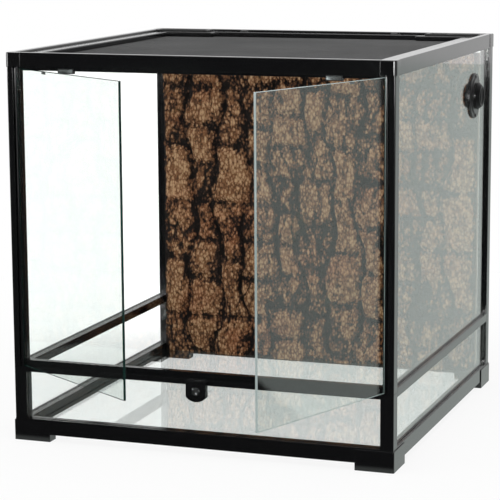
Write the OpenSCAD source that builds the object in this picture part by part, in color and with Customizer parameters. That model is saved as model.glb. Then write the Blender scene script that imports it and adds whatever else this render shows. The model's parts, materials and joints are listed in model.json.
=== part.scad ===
// Front-opening glass terrarium on a raised plastic frame.
// Origin: centre of the footprint, at the level that the feet stand on. +X right, +Y to the rear, +Z up.
// It is drawn with both doors swung open by the angles below.

/* [Enclosure] */
// Overall width, over the corner pieces
width = 610; // [460:5:900]
// Overall depth, over the corner pieces
depth = 610; // [460:5:900]
// Overall height, from the feet to the top of the frame
height = 600; // [450:5:900]

/* [Frame] */
// Width of the posts, and depth of the rails from outside to inside
frame_t = 20; // [19:0.5:24]
// How far feet and top corners stand proud of the rails
corner_proud = 1.5; // [0.5:0.25:3]
// Radius on the outer vertical edges of posts and feet
edge_r = 2; // [0.5:0.25:3]
// Radius on the outer vertical edge of the top corners
corner_r = 5; // [2:0.5:6]
// Height of the bottom rails
bottom_rail_h = 23.5; // [20:0.5:40]
// Gap under the bottom rails that the feet make
foot_drop = 11; // [5:1:30]
// Length of each leg of a foot
foot_leg = 60; // [40:1:90]
// Height that a foot covers on the rails
foot_cover = 21; // [12:0.5:23]
// Level of the underside of the middle rails
mid_level = 109; // [80:1:180]
// Height of the side and rear middle rails
mid_rail_h = 13.5; // [12:0.5:24]
// Height of the door sill
sill_h = 17; // [14:0.5:24]
// Height of the sill's front lip, below the doors
sill_lip_h = 8; // [7:0.5:10]
// Length of the sloping joint at each end of the sill
scarf_len = 32; // [15:1:60]
// Height of the top rails
top_rail_h = 23; // [22:0.5:40]
// How far the stop behind the doors hangs below the front top rail
stop_drop = 4.5; // [3:0.5:8]
// Width of a top corner piece
connector_w = 24; // [23:0.5:32]
// Depth that corner tongues reach into the top rails
tongue_len = 14; // [8:1:30]
// Play around each tongue
tongue_play = 0.2; // [0.1:0.05:0.4]

/* [Glass] */
// Thickness of the fixed panes
pane_t = 4; // [3:0.5:6]
// Distance from the rails' outer face to the glass
pane_inset = 5; // [3:0.5:7]
// Depth that a pane enters its grooves
pane_bite = 5; // [3:0.5:5]
// Depth that the front lower pane enters its posts, short of the pivot holes
front_bite = 2.5; // [1.5:0.25:2.5]
// Gap between a pane's edge and the end of its groove
pane_end_gap = 0.5; // [0.2:0.1:1]
// Play on each face of a pane
pane_play = 0.2; // [0.1:0.05:0.5]
// Height of the floor pane's underside above the bottom rails' underside
floor_rise = 7; // [5:0.5:12]

/* [Doors] */
// Thickness of the door glass
door_t = 4; // [4:0.5:5.5]
// How far the left door is open, in degrees
left_open = 34.1; // [0:0.1:100]
// How far the right door is open, in degrees
right_open = 69.2; // [0:0.1:100]
// Gap between the closed doors
door_gap = 3; // [2:0.5:6]
// Gap above and below the door glass
door_play = 1; // [0.5:0.25:2]
// Gap between a closed door and the stop behind it
stop_gap = 2.5; // [1.5:0.25:4]
// Radius of the hinge rods
rod_r = 4.5; // [4:0.25:5]
// Play between a rod and its post
rod_play = 0.6; // [0.4:0.1:1]
// Radius of the pivot pins
pin_r = 2; // [1.5:0.25:2.5]
// Length of the pivot pins
pin_len = 6; // [4:0.5:7]
// Running clearance of the pins in their holes
pin_fit = 0.06; // [0.03:0.01:0.1]
// Width of a door magnet
magnet_w = 25; // [15:1:40]
// Height of a door magnet's holder
magnet_h = 8; // [5:0.5:12]
// Distance of the door magnets from the centre
magnet_x = 210; // [60:5:260]

/* [Lid] */
// Width of the top rails' rim outside the lid
rim_w = 11; // [8:0.5:14]
// Depth of the lid's seat below the rim
seat_drop = 13.5; // [12:0.5:16]
// Play around the lid
lid_play = 0.5; // [0.3:0.1:1]
// Width of the lid's frame
lid_bar = 25; // [15:1:40]
// Height of the lid's frame
lid_h = 10.5; // [6:0.5:11]
// Thickness of the screen
screen_t = 1.2; // [0.8:0.1:2]
// Height of the screen above the underside of the lid's frame
screen_rise = 1.5; // [1.5:0.1:4]
// Openings across the screen, which stand for its fine mesh
screen_cells = 12; // [4:1:12]
// Width of the bars between them
screen_bar = 5; // [3:0.5:8]
// Distance of the lid's front clips from the centre
front_clip_x = 205; // [60:5:240]
// Distance of the lid's rear clips from the centre
rear_clip_x = 130; // [60:5:160]

/* [Cable ports] */
// Length of a cable port
port_len = 97; // [90:1:110]
// Width of a cable port
port_w = 30; // [29:0.5:34]
// Length of the cable slot
slot_len = 36; // [20:1:36]
// Width of the cable slot
slot_w = 13; // [8:0.5:14]
// Thickness of the sliding shutter
shutter_t = 1.6; // [1.2:0.1:2]
// Running play around the shutter
shutter_play = 0.2; // [0.1:0.05:0.3]

/* [Side port] */
// Radius of the flange
flange_r = 37; // [33:0.5:45]
// Thickness of the flange
flange_t = 5; // [4:0.5:6]
// Outer radius of the tube through the glass
tube_r = 21; // [19:0.5:24]
// Wall of the tube
tube_wall = 2.5; // [2:0.25:3]
// Length of the tube outside the flange
tube_out = 2; // [1.5:0.5:5]
// Length of the tube inside the glass
tube_in = 8.5; // [8.5:0.5:20]
// Height of the cap on the tube
cap_h = 7; // [6:0.5:12]
// Radius of the cap's face
cap_r = 17; // [15:0.5:18]
// Play of the tube in the hole through the glass
hole_play = 0.3; // [0.1:0.1:1]
// Play of the cap in the tube
cap_play = 0.3; // [0.2:0.05:0.5]
// Distance of the port's centre below the top
side_port_down = 95; // [85:5:200]
// Distance of the port's centre from the rear of the frame
side_port_back = 115; // [90:5:300]

/* [Lock] */
// Width of the lock's housing
lock_w = 32; // [31:0.5:40]
// Height of the lock's housing
lock_h = 32; // [32:0.5:40]
// Thickness of the lock's housing in front of the sill
lock_t = 9.5; // [9:0.5:12]
// Radius of the housing's rounded bottom
lock_r = 21; // [20:0.5:30]
// Radius of the key plug
plug_r = 6; // [5.75:0.25:7]
// Half of the bolt's travel: the plug's pin is this far off its axis
throw_r = 4.5; // [4:0.25:4.5]

/* [Background] */
// Thickness of the background panel, with its relief
bark_t = 24; // [16:1:40]
// Depth of the relief
relief = 14; // [4:0.5:14]
// Number of bark plates across the panel
bark_columns = 11; // [5:1:14]

/* [Hidden] */
$fn = 48;
eps = 0.01;

SIDES = ["front", "right", "rear", "left"];
CORNERS = ["front_left", "front_right", "rear_right", "rear_left"];
ENDS = ["left", "right"];

plastic = "#151515";
glass = [0.75, 0.85, 0.82, 0.35];
steel = "silver";

// Outer faces of rails and posts, from the centre
rail_x = width / 2 - corner_proud;
rail_y = depth / 2 - corner_proud;
// Inner faces of the posts
post_x = rail_x - frame_t;
post_y = rail_y - frame_t;
// Levels
bottom_z = foot_drop;
bottom_top = bottom_z + bottom_rail_h;
mid_top = mid_level + mid_rail_h;
lip_top = mid_level + sill_lip_h;
top_z = height - top_rail_h;
seat_z = height - seat_drop;
floor_z = bottom_z + floor_rise;
// Glass planes, as distances inwards from the rails' outer face
glass_in = pane_inset + pane_t;
// The doors' pivots
pivot_x = post_x + rod_r + rod_play;
pivot_y = -rail_y + rod_r;
door_low = lip_top + door_play;
door_high = top_z - door_play;
door_len = pivot_x - door_gap / 2;
stop_in = rod_r + door_t / 2 + stop_gap;
rod_gap = door_play / 3;

function across(side) = side == "front" || side == "rear";
function turn(side) = side == "front" ? 0 : side == "right" ? 90 : side == "rear" ? 180 : 270;
function reach(side) = across(side) ? rail_y : rail_x;
function rail_half(side) = across(side) ? rail_x : rail_y;
function post_half(side) = across(side) ? post_x : post_y;
function is_front(corner) = corner == "front_left" || corner == "front_right";

// Draws its children at a corner; they are written for the rear right one
module at_corner(corner) {
    mirror([corner == "front_left" || corner == "rear_left" ? 1 : 0, 0, 0])
        mirror([0, is_front(corner) ? 1 : 0, 0]) children();
}

// Draws its children for the left or the right end; they are written for the right one
module at_end(end) {
    mirror([end == "left" ? 1 : 0, 0, 0]) children();
}

// Extrudes a profile along one side. Profile: x inwards from the outer face, y up
module along(side, half_len, z) {
    rotate([0, 0, turn(side)]) translate([-half_len, -reach(side), z]) rotate([90, 0, 90])
        linear_extrude(2 * half_len) children();
}

// Groove for a pane, in a profile
module pane_groove(from_v, to_v) {
    translate([pane_inset - pane_play, from_v]) square([pane_t + 2 * pane_play, to_v - from_v]);
}

module box(low, high) {
    translate(low) cube(high - low);
}

// ---- Base ----

rail_wall = 3;
sole_wall = 4;

module bottom_rail_profile() {
    difference() {
        square([frame_t, bottom_rail_h]);
        pane_groove(bottom_rail_h - pane_bite, bottom_rail_h + 1);
        // groove that carries the floor pane
        translate([frame_t - pane_bite, floor_rise]) square([pane_bite + 1, pane_t + 2 * pane_play]);
        // hollow under the rail
        translate([rail_wall, -1]) square([frame_t - 2 * rail_wall, floor_rise - rail_wall + 1]);
    }
}

module bottom_rail(side) {
    h = rail_half(side);
    r = reach(side);
    color(plastic) intersection() {
        along(side, h, bottom_z) bottom_rail_profile();
        rotate([0, 0, turn(side)]) linear_extrude(height)
            polygon([[-h, -r], [h, -r], [h - frame_t, -r + frame_t], [-h + frame_t, -r + frame_t]]);
    }
}

module foot(corner) {
    x0 = width / 2 - foot_leg;
    y0 = depth / 2 - foot_leg;
    color(plastic) at_corner(corner) difference() {
        linear_extrude(foot_drop + foot_cover) rounded_corner(x0, y0, width / 2, depth / 2, edge_r);
        // the rails' corner sits in the foot
        box([x0 - 1, y0 - 1, foot_drop], [rail_x, rail_y, height]);
        box([x0 - 1, y0 - 1, -1], [post_x, post_y, height]);
        // hollow sole
        box([x0 + sole_wall, post_y + sole_wall, -1],
            [rail_x - sole_wall, rail_y - sole_wall, foot_drop - sole_wall]);
        box([post_x + sole_wall, y0 + sole_wall, -1],
            [rail_x - sole_wall, post_y + sole_wall + 1, foot_drop - sole_wall]);
    }
}

// Rectangle whose far corner is rounded
module rounded_corner(x0, y0, x1, y1, r) {
    difference() {
        translate([x0, y0]) square([x1 - x0, y1 - y0]);
        translate([x1 - r, y1 - r]) difference() {
            square(r + 1);
            circle(r);
        }
    }
}

module floor_pane() {
    x = post_x + pane_bite - pane_end_gap;
    y = post_y + pane_bite - pane_end_gap;
    color(glass) box([-x, -y, floor_z], [x, y, floor_z + pane_t]);
}

// ---- Posts ----

// How far the upper posts reach above the underside of the top rails
post_end = 1;

// Section of a post, for the rear right corner. The side pane enters at -Y, and a pane across
// the front or the rear enters at -X, as deep as cross_bite
module post_section(cross_bite) {
    difference() {
        rounded_corner(post_x, post_y, rail_x, rail_y, edge_r);
        post_grooves(cross_bite);
    }
}

// Grooves for the panes, open along the walls as far as any arm of a corner piece reaches
module post_grooves(cross_bite) {
    groove_w = pane_t + 2 * pane_play;
    run = scarf_len + connector_w;
    translate([rail_x - glass_in - pane_play, post_y - run]) square([groove_w, pane_bite + run]);
    if (cross_bite > 0)
        translate([post_x - run, rail_y - glass_in - pane_play]) square([cross_bite + run, groove_w]);
}

module lower_post(corner) {
    cross_bite = is_front(corner) ? front_bite : pane_bite;
    color(plastic) at_corner(corner) difference() {
        union() {
            translate([0, 0, bottom_top]) linear_extrude(lip_top - bottom_top)
                rounded_corner(post_x, post_y, rail_x, rail_y, edge_r);
            if (is_front(corner)) scarf_arm();
        }
        translate([0, 0, bottom_top - 1]) linear_extrude(mid_level + pane_bite - bottom_top + 1)
            post_grooves(cross_bite);
        if (is_front(corner))
            translate([pivot_x, -pivot_y, lip_top - pin_len - 1])
                cylinder(r = pin_r + pin_fit, h = pin_len + 2);
    }
}

// Arm under the end of the sill, cut off along the sloping joint
module scarf_arm() {
    translate([post_x, rail_y, mid_level]) rotate([90, 0, 0]) linear_extrude(stop_in)
        polygon([[eps, 0], [eps, sill_lip_h], [-scarf_len, 0]]);
}

module upper_post(corner) {
    len = top_z + post_end - lip_top;
    color(plastic) at_corner(corner) translate([0, 0, lip_top]) linear_extrude(len) difference() {
        post_section(is_front(corner) ? 0 : pane_bite);
        if (is_front(corner)) rod_cove();
    }
}

// Cove in which a hinge rod turns, open to the front and to the doorway
module rod_cove() {
    translate([pivot_x, -pivot_y]) circle(rod_r + rod_play);
    translate([post_x - 1, -pivot_y]) square([pivot_x - post_x + 1, frame_t]);
    translate([post_x - 1, -pivot_y - rod_r - rod_play])
        square([pivot_x - post_x + 1, rod_r + rod_play]);
    translate([pivot_x - 1, -pivot_y]) square([rod_r + rod_play + 1, frame_t]);
}

// ---- Middle rails ----

module mid_rail_profile() {
    difference() {
        square([frame_t, mid_rail_h]);
        pane_groove(-1, pane_bite);
        pane_groove(mid_rail_h - pane_bite, mid_rail_h + 1);
    }
}

module mid_rail(side) {
    color(plastic) along(side, post_half(side), mid_level) mid_rail_profile();
}

module door_sill() {
    color(plastic) difference() {
        along("front", post_x, mid_level) difference() {
            square([frame_t, sill_h]);
            pane_groove(-1, pane_bite);
            // step that the doors hang in
            translate([-1, sill_lip_h]) square([stop_in + 1, sill_h]);
        }
        for (end = ENDS) at_end(end)
            translate([0, -rail_y + stop_in, mid_level]) rotate([90, 0, 0]) linear_extrude(stop_in + 1)
                polygon([[post_x + 1, -1], [post_x + 1, sill_lip_h], [post_x, sill_lip_h],
                    [post_x - scarf_len, 0], [post_x - scarf_len, -1]]);
    }
}

// ---- Panes ----

// An upright pane on one side, between two levels, its ends in the posts
module pane(side, z0, z1, bite = pane_bite) {
    half = post_half(side) + bite - pane_end_gap;
    color(glass) rotate([0, 0, turn(side)])
        box([-half, -reach(side) + pane_inset, z0], [half, -reach(side) + glass_in, z1]);
}

module lower_pane(side) {
    pane(side, bottom_top - pane_bite, mid_level + pane_bite - pane_end_gap,
        side == "front" ? front_bite : pane_bite);
}

module upper_pane(side) {
    difference() {
        pane(side, mid_top - pane_bite, top_z + pane_bite - pane_end_gap);
        if (side == "right") at_side_port() cylinder(r = tube_r + hole_play, h = 4 * glass_in, center = true);
    }
}

bark_gap = 0.5;
bark_headroom = 8;

// Rows of the relief, and across one plate the places that are drawn: its furrow, then how high its back stands
bark_rows = 48;
plate_at = [0, 0.14, 0.5, 0.86];
plate_rise = [0, 0.82, 1, 0.86];

function scatter(a, b) = let (v = 4375.8 * sin(127.1 * a + 311.7 * b)) v - floor(v);

// How far a furrow wanders to the side, as a share of a plate; the panel's own edges are straight
function wander(furrow, z) = furrow == 0 || furrow == bark_columns ? 0
    : 0.2 * sin(1.1 * z + 140 * furrow) + 0.11 * sin(2.9 * z + 77 * furrow);

// Height of a plate in a row, 0 to 1: each plate breaks off into pieces of its own length
function plate_height(column, row) =
    let (run = 5 + floor(5 * scatter(column, 3)), at = row + floor(9 * scatter(column, 8)))
    (0.5 + 0.5 * scatter(column, floor(at / run))) * (at % run == 0 ? 0.4 : 1);

function furrow_height(column, row) = 0.3 * scatter(column + 50, floor(row / 4));

module background_panel() {
    half = post_x - bark_gap;
    z0 = floor_z + pane_t;
    z1 = top_z - bark_headroom;
    back = post_y - bark_gap;
    face = back - bark_t + relief;
    cell = 2 * half / bark_columns;
    nx = len(plate_at) * bark_columns;
    nz = bark_rows;
    fronts = [for (k = [0:nz]) for (i = [0:nx])
        let (z = z0 + (z1 - z0) * k / nz, column = floor(i / len(plate_at)), j = i % len(plate_at))
        let (left = column + wander(column, z), right = column + 1 + wander(column + 1, z))
        let (h = j == 0 ? furrow_height(column, k) : plate_rise[j] * plate_height(column, k))
        [-half + cell * (j == 0 ? left : left + (right - left) * plate_at[j]), face - relief * h, z]];
    n = len(fronts);
    corners = [[-half, back, z0], [half, back, z0], [half, back, z1], [-half, back, z1]];
    row = nx + 1;
    skin = [for (k = [0:nz - 1]) for (i = [0:nx - 1]) let (a = k * row + i)
        each [[a, a + row, a + 1], [a + 1, a + row, a + row + 1]]];
    bottom = [for (i = [0:nx - 1]) [i, i + 1, n]];
    top = [for (i = [0:nx - 1]) let (a = nz * row + i) [a + 1, a, n + 3]];
    left = [for (k = [0:nz - 1]) let (a = k * row) [a + row, a, n]];
    right = [for (k = [0:nz - 1]) let (a = k * row + nx) [a, a + row, n + 1]];
    closing = [[nx, n + 1, n], [nz * row, n, n + 3], [nz * row + nx, n + 3, n + 2],
        [nz * row + nx, n + 2, n + 1], [n, n + 1, n + 2], [n, n + 2, n + 3]];
    color("#6b5038") polyhedron(points = concat(fronts, corners),
        faces = concat(skin, bottom, top, left, right, closing), convexity = 6);
}

// ---- Top frame ----

// Plastic outside and over a tongue, and between it and the lid's seat or a pane's groove
tongue_cover = 3;
tongue_wall = 2;
tongue_z0 = top_z + pane_bite + tongue_wall;
tongue_z1 = height - tongue_cover;

// A tongue of a corner piece, reaching along -X; with play, the pocket for it
module tongue(play) {
    x1 = width / 2 - connector_w;
    deeper = play > 0 ? 1 : 0;
    box([x1 - tongue_len - deeper, rail_y - rim_w + tongue_wall - play, tongue_z0 - play],
        [x1 + eps, rail_y - tongue_cover + play, tongue_z1 + play]);
}

// The same, reaching along -Y
module cross_tongue(play) {
    y1 = depth / 2 - connector_w;
    deeper = play > 0 ? 1 : 0;
    box([rail_x - rim_w + tongue_wall - play, y1 - tongue_len - deeper, tongue_z0 - play],
        [rail_x - tongue_cover + play, y1 + eps, tongue_z1 + play]);
}

module top_rail(side) {
    half = (across(side) ? width : depth) / 2 - connector_w;
    color(plastic) difference() {
        union() {
            along(side, half, top_z) difference() {
                square([frame_t, top_rail_h]);
                // seat of the lid
                translate([rim_w, top_rail_h - seat_drop]) square([frame_t, seat_drop + 1]);
                if (side != "front") pane_groove(-1, pane_bite);
            }
            if (side == "front")
                along(side, post_x, top_z - stop_drop)
                    translate([stop_in, 0]) square([frame_t - stop_in, stop_drop]);
        }
        for (corner = CORNERS) at_corner(corner) {
            if (across(side)) tongue(tongue_play);
            else cross_tongue(tongue_play);
        }
    }
}

module top_corner(corner) {
    x0 = width / 2 - connector_w;
    y0 = depth / 2 - connector_w;
    color(plastic) at_corner(corner) difference() {
        union() {
            translate([0, 0, top_z + post_end]) linear_extrude(top_rail_h - post_end)
                rounded_corner(x0, y0, width / 2, depth / 2, corner_r);
            tongue(0);
            cross_tongue(0);
        }
        // seat of the lid
        box([x0 - 1, y0 - 1, seat_z], [rail_x - rim_w, rail_y - rim_w, height + 1]);
        translate([0, 0, top_z]) linear_extrude(pane_bite) post_grooves(is_front(corner) ? 0 : pane_bite);
        if (is_front(corner))
            translate([pivot_x, -pivot_y, top_z]) cylinder(r = pin_r + pin_fit, h = pin_len + 1);
    }
}

// ---- Cable ports ----

port_x1 = rail_x - rim_w;
port_x0 = port_x1 - port_len;
port_y1 = rail_y - rim_w;
port_y0 = port_y1 - port_w;
// The track's floor below the rim, its solid ends, and the lips over the shutter's edges
track_depth = 3;
track_end = 6;
track_lip = 1.5;
track_w = slot_w + 5.6;
track_edge = 2.7;
// The slot clears the ledge that the port rests on
track_y = port_y0 + track_edge + track_w / 2;
track_z = height - track_depth;
// How far the shutter reaches past the slot
shutter_lap = 3;
shutter_len = slot_len + 2 * shutter_lap;
slot_x0 = port_x0 + track_end + shutter_lap + 1;
grips = 4;
grip_pitch = 3;
grip_t = 1.4;

module cable_port(end) {
    color(plastic) at_end(end) difference() {
        box([port_x0, port_y0, seat_z], [port_x1, port_y1, height]);
        box([slot_x0, track_y - slot_w / 2, seat_z - 1],
            [slot_x0 + slot_len, track_y + slot_w / 2, height + 1]);
        // track of the shutter, with a narrower mouth above it
        box([port_x0 + track_end, track_y - track_w / 2, track_z],
            [port_x1 - track_end, track_y + track_w / 2, track_z + shutter_t + 2 * shutter_play]);
        box([port_x0 + track_end, track_y - track_w / 2 + track_lip, track_z],
            [port_x1 - track_end, track_y + track_w / 2 - track_lip, height + 1]);
    }
}

module cable_shutter(end) {
    x0 = slot_x0 - shutter_lap;
    w = track_w - 2 * shutter_play;
    grip_w = w - 2 * track_lip - 2 * shutter_play;
    grip_x0 = x0 + shutter_len - grips * grip_pitch - grip_t;
    color(plastic) at_end(end) union() {
        box([x0, track_y - w / 2, track_z], [x0 + shutter_len, track_y + w / 2, track_z + shutter_t]);
        for (i = [0:grips - 1])
            box([grip_x0 + grip_pitch * i, track_y - grip_w / 2, track_z + shutter_t - eps],
                [grip_x0 + grip_pitch * i + grip_t, track_y + grip_w / 2, height - shutter_play]);
    }
}

// ---- Lid ----

lid_x = rail_x - rim_w - lid_play;
lid_y = rail_y - rim_w - lid_play;
notch_x = port_x0 - lid_play;
notch_y = port_y0 - lid_play;
notch_bar = lid_bar / 2;
// Depth of the screen's groove in the bars, and the gaps around the screen in it
screen_bite = 5;
screen_gap = 0.5;
screen_play = 0.2;
clip_w = 12;
clip_len = 9;
clip_h = 2.4;

// Outline of the lid, drawn in by d, with a notch for each cable port
module lid_outline(d, bar) {
    polygon([[-lid_x + d, -lid_y + d], [lid_x - d, -lid_y + d], [lid_x - d, notch_y - bar],
        [notch_x - bar, notch_y - bar], [notch_x - bar, lid_y - d], [-notch_x + bar, lid_y - d],
        [-notch_x + bar, notch_y - bar], [-lid_x + d, notch_y - bar]]);
}

module lid_frame() {
    color(plastic) translate([0, 0, seat_z]) difference() {
        linear_extrude(lid_h) difference() {
            lid_outline(0, 0);
            lid_outline(lid_bar, notch_bar);
        }
        // groove that holds the screen
        translate([0, 0, screen_rise]) linear_extrude(screen_t + screen_play)
            lid_outline(lid_bar - screen_bite, notch_bar - screen_bite);
    }
}

module lid_screen() {
    hem = screen_bar / 2;
    pitch_x = 2 * (lid_x - lid_bar) / screen_cells;
    pitch_y = 2 * (lid_y - lid_bar) / screen_cells;
    color("dimgray") translate([0, 0, seat_z + screen_rise]) linear_extrude(screen_t) difference() {
        lid_outline(lid_bar - screen_bite + screen_gap, notch_bar - screen_bite + screen_gap);
        intersection() {
            lid_outline(lid_bar + hem, notch_bar + hem);
            for (i = [0:screen_cells - 1]) for (k = [0:screen_cells - 1])
                translate([-lid_x + lid_bar + pitch_x * i + hem, -lid_y + lid_bar + pitch_y * k + hem])
                    square([pitch_x - screen_bar, pitch_y - screen_bar]);
        }
    }
}

// Clips on the lid's frame that bear against the rim of the top rails
module lid_clips() {
    tip = clip_len + 0.6 * lid_play;
    color(plastic) for (front = [0, 1]) for (end = ENDS) at_end(end) mirror([0, front, 0])
        translate([front == 1 ? front_clip_x : rear_clip_x, lid_y - clip_len, seat_z + lid_h])
            rotate([90, 0, 90]) linear_extrude(clip_w)
                polygon([[0, 0], [tip, 0], [tip, clip_h], [clip_h, clip_h], [clip_h / 3, 0.6 * clip_h]]);
}

// ---- Doors ----

// Distance of the glass's edge from the pivot, and the glue around it in the rod
glass_seat = 1.5;
glue_t = 0.05;
strike_w = 11;
strike_h = 4.5;
strike_t = 0.8;
strike_inset = 0.3;
// The magnets' holders: plate in front of the stop, reach behind it
holder_t = 1.2;
holder_reach = 7;
holder_drop = 0.5;

// Draws its children at the door's opening angle; they are written for the closed right door,
// with the pivot at the origin and the glass along -X
module at_door(end) {
    at_end(end) translate([pivot_x, pivot_y, 0])
        rotate([0, 0, end == "left" ? left_open : right_open]) children();
}

module door_glass(end) {
    color(glass) at_door(end)
        box([-door_len, -door_t / 2, door_low], [-glass_seat, door_t / 2, door_high]);
}

module door_rod(end) {
    color(plastic) at_door(end) difference() {
        union() {
            translate([0, 0, lip_top + rod_gap]) cylinder(r = rod_r, h = top_z - lip_top - 2 * rod_gap);
            translate([0, 0, lip_top - pin_len]) cylinder(r = pin_r, h = top_z - lip_top + 2 * pin_len);
        }
        box([-rod_r - 1, -door_t / 2 - glue_t, door_low - glue_t],
            [-glass_seat + glue_t, door_t / 2 + glue_t, door_high + glue_t]);
    }
}

module door_strike(end) {
    x = pivot_x - magnet_x;
    color(steel) at_door(end) box([-x - strike_w / 2, door_t / 2, door_high - strike_h],
        [-x + strike_w / 2, door_t / 2 + strike_t, door_high - strike_inset]);
}

// Holders that hook over the front of the stop and hang below it
module door_magnets() {
    y0 = -rail_y + stop_in;
    z1 = top_z - stop_drop;
    z0 = top_z - holder_drop - magnet_h;
    x0 = magnet_x - magnet_w / 2;
    color("gray") for (end = ENDS) at_end(end) union() {
        box([x0, y0 - holder_t, z0], [x0 + magnet_w, y0, z0 + magnet_h]);
        box([x0, y0 - eps, z0], [x0 + magnet_w, y0 + holder_reach, z1]);
    }
}

// ---- Lock ----

lock_z1 = lip_top - 0.2;
lock_z0 = lock_z1 - lock_h;
plug_z = lock_z0 + 16;
lock_y0 = -rail_y - lock_t;
plug_proud = 0.8;
plug_y0 = lock_y0 - plug_proud;
// Wall of the housing behind the bolt
lock_back = 1.5;
bolt_w = 26;
bolt_t = 3;
bolt_play = 0.3;
bolt_y = -rail_y - lock_back;
bolt_sink = 0.8;
// Front of the bolt's room, where the plug ends
plug_y1 = bolt_y - bolt_t - bolt_play;
// The plug's pin runs in a level slot of the bolt, with room above and below it
crank_r = 1.2;
crank_room = 1.1;
crank_z = plug_z - throw_r;
bolt_low = crank_z - 4;
spine_inset = 3;
spine_rise = 10;
key_t = 1.2;
key_h = 6.4;
key_deep = 3.2;

module lock_outline() {
    intersection() {
        translate([-lock_w / 2, 0]) square([lock_w, lock_h]);
        hull() {
            translate([0, lock_r]) circle(lock_r, $fn = 96);
            translate([-lock_w / 2, lock_h]) square([lock_w, 1]);
        }
    }
}

module lock_housing() {
    color(plastic) difference() {
        union() {
            translate([0, -rail_y, lock_z0]) rotate([90, 0, 0]) linear_extrude(lock_t) lock_outline();
            // spine under the sill, from the plate back to the lower pane
            box([-lock_w / 2 + spine_inset, -rail_y - eps, lock_z0 + spine_rise],
                [lock_w / 2 - spine_inset, -rail_y + pane_inset - bolt_play, mid_level - 0.1]);
        }
        // room for the bolt, open at the top
        box([-bolt_w / 2 - bolt_play, plug_y1, bolt_low],
            [bolt_w / 2 + bolt_play, bolt_y + bolt_play, lock_z1 + 1]);
        translate([0, lock_y0 - 1, plug_z]) rotate([-90, 0, 0])
            cylinder(r = plug_r + pin_fit, h = plug_y1 + bolt_play - lock_y0 + 1);
    }
}

module lock_plug() {
    color(steel) translate([0, 0, plug_z]) difference() {
        union() {
            translate([0, plug_y0, 0]) rotate([-90, 0, 0]) cylinder(r = plug_r, h = plug_y1 - plug_y0);
            translate([0, plug_y1 - eps, -throw_r]) rotate([-90, 0, 0])
                cylinder(r = crank_r, h = bolt_t + 1.5 * bolt_play);
        }
        // keyway, with a ward on one side
        box([-key_t / 2, plug_y0 - 1, -key_h / 2], [key_t / 2, plug_y0 + key_deep, key_h / 2]);
        box([-key_t / 2, plug_y0 - 1, -key_h / 2], [1.2 * key_t, plug_y0 + key_deep, -key_h / 4]);
    }
}

module lock_bolt() {
    half = throw_r + crank_r + bolt_play;
    room = crank_r + crank_room;
    color(steel) difference() {
        box([-bolt_w / 2, bolt_y - bolt_t, bolt_low], [bolt_w / 2, bolt_y, lock_z1 - bolt_sink]);
        box([-half, bolt_y - bolt_t - 1, crank_z - room], [half, bolt_y + 1, crank_z + room]);
    }
}

// ---- Side port ----

// Children are written with the tube along +Z, outwards, and the glass's outer face at 0
module at_side_port() {
    translate([rail_x - pane_inset, depth / 2 - side_port_back, height - side_port_down]) rotate([0, 90, 0]) children();
}

tube_bore = tube_r - tube_wall;
mouth_z = flange_t + tube_out;
// The cap's cone covers the tube's mouth, and its skirt turns in the tube
cap_wall = 2;
cap_dish = 3.5;
cap_lap = 1;
skirt_h = 6;
seat_gap = 0.1;
// Steps of the flange: its thinner edge, and the lugs that mark where the cap lets go
rim_t = 3;
step_r = flange_r - 6;
lug_w = 6;
lug_len = 4.5;
nut_h = 7;
nut_wall = 3;

module port_flange() {
    color(plastic) at_side_port() union() {
        rotate_extrude() union() {
            translate([tube_bore, -pane_t - tube_in]) square([tube_wall, pane_t + tube_in + mouth_z]);
            polygon([[tube_r - eps, 0], [flange_r, 0], [flange_r, rim_t - 1], [flange_r - 1, rim_t],
                [step_r, rim_t], [step_r - flange_t + rim_t, flange_t], [tube_r - eps, flange_t]]);
        }
        for (half = [0, 180]) rotate([0, 0, half])
            box([step_r - 1.5, -lug_w / 2, rim_t - 1], [step_r - 1.5 + lug_len, lug_w / 2, flange_t]);
    }
}

module port_nut() {
    flutes = 12;
    outer = tube_r + nut_wall;
    color(plastic) at_side_port() translate([0, 0, -pane_t - nut_h]) difference() {
        cylinder(r = outer, h = nut_h);
        translate([0, 0, -1]) cylinder(r = tube_r + pin_fit, h = nut_h + 2);
        for (i = [0:flutes - 1]) rotate([0, 0, 360 / flutes * i])
            translate([outer + 0.8 * nut_wall, 0, -1]) cylinder(r = nut_wall, h = nut_h + 2);
    }
}

module port_cap() {
    r = tube_bore - cap_play;
    base_r = tube_r + cap_lap;
    floor_h = cap_h - cap_dish;
    floor_r = cap_r - 5;
    color(plastic) at_side_port() translate([0, 0, mouth_z + seat_gap]) union() {
        // dished cone with a skirt
        rotate_extrude() polygon([[0, floor_h - cap_wall], [r - cap_wall - 2, floor_h - cap_wall],
            [r - cap_wall, -skirt_h], [r, -skirt_h], [r, 0], [base_r, 0], [base_r, 1], [cap_r, cap_h],
            [cap_r - 2.5, cap_h], [floor_r, floor_h], [0, floor_h]]);
        // bar to turn it by
        box([-floor_r, -cap_wall, floor_h - 1], [floor_r, cap_wall, cap_h - 0.5]);
    }
}

for (s = SIDES) bottom_rail(s);
for (c = CORNERS) foot(c);
floor_pane();
for (c = CORNERS) lower_post(c);
for (s = SIDES) lower_pane(s);
door_sill();
for (s = ["right", "rear", "left"]) mid_rail(s);
for (c = CORNERS) upper_post(c);
for (s = ["right", "rear", "left"]) upper_pane(s);
background_panel();
for (s = SIDES) top_rail(s);
for (c = CORNERS) top_corner(c);
for (e = ENDS) cable_port(e);
for (e = ENDS) cable_shutter(e);
lid_frame();
lid_screen();
lid_clips();
for (e = ENDS) door_glass(e);
for (e = ENDS) door_rod(e);
for (e = ENDS) door_strike(e);
door_magnets();
lock_housing();
lock_plug();
lock_bolt();
port_flange();
port_nut();
port_cap();
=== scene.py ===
import json
import math

import bmesh
import bpy
from mathutils import Matrix, Vector, noise
from mathutils.bvhtree import BVHTree

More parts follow.
